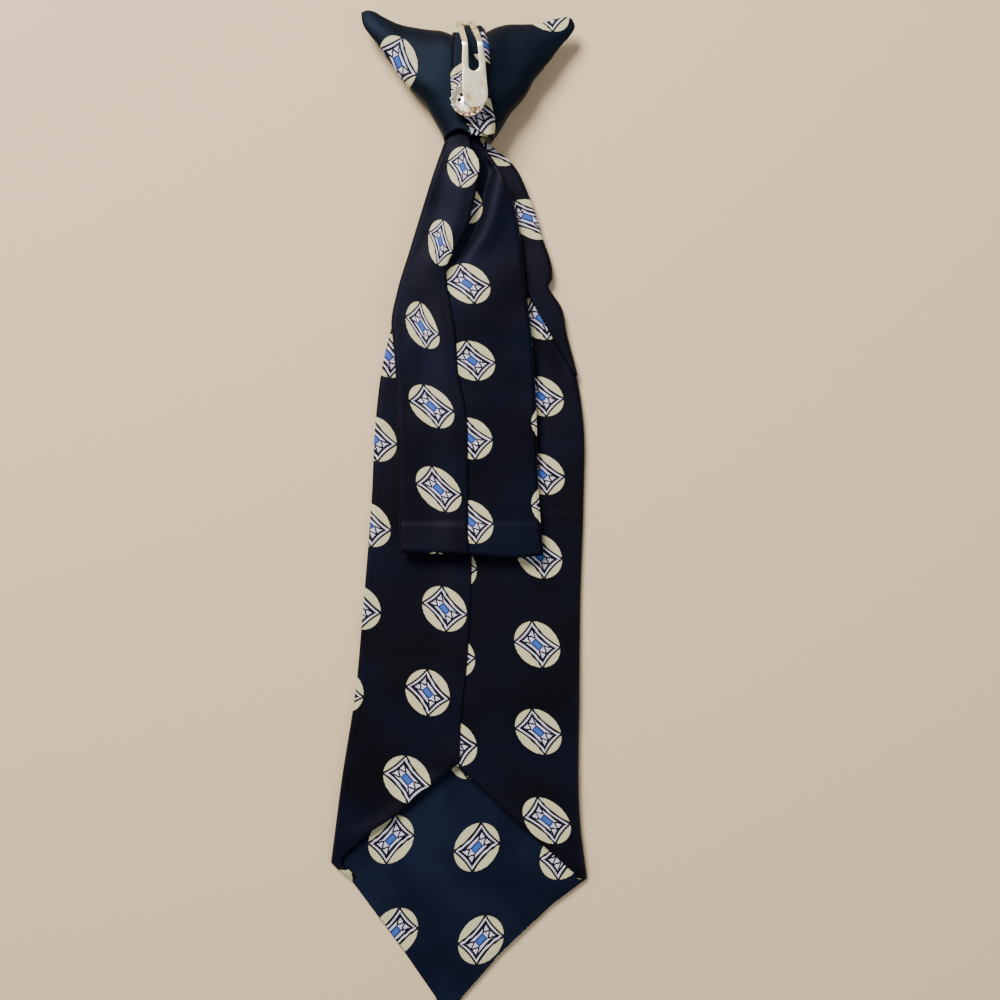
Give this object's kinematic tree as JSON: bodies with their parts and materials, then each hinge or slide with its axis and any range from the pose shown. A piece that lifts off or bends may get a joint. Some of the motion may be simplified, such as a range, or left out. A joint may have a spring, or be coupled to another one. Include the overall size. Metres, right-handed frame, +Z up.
{
  "type": "clip-on necktie",
  "caption": "Child's pre-tied necktie with a steel spring clip behind its knot, shown lying face down with the tail and the lined point facing up.",
  "frame": {"origin": "middle of the tie's outline, on the surface that it lies on face down", "axes": "+Z up out of the tie's back, +Y towards the knot, -Y towards the pointed tip, +X to the right seen from behind"},
  "size_m": [0.0721, 0.2824, 0.0179],
  "materials": {
    "tie_cloth": "fine twill weave in near-black navy with woven or printed cream oval medallions",
    "tipping_cloth": "the same cloth, seen on the lining of the point, a little more teal",
    "spring_steel": "worn nickel-plated spring steel with tarnish blotches",
    "disc_steel": "bright nickel-plated sheet with a toothed rim"
  },
  "bodies": {
    "root": {"wide_blade": "tie_cloth", "blade_tipping": "tipping_cloth", "narrow_tail": "tie_cloth", "knot_wrap": "tie_cloth", "knot_band": "tie_cloth", "clip_base": "spring_steel", "clip_disc": "disc_steel"},
    "tongue": {"clip_tongue": "spring_steel"}
  },
  "joints": [
    {"name": "clip_spring", "type": "hinge", "parent": "root", "child": "tongue", "pos_m": [0.0026, 0.1346, 0.0119], "axis": [-1, 0, 0], "range_deg": [0, 12], "stiffness_Nm_per_rad": 0.02}
  ]
}
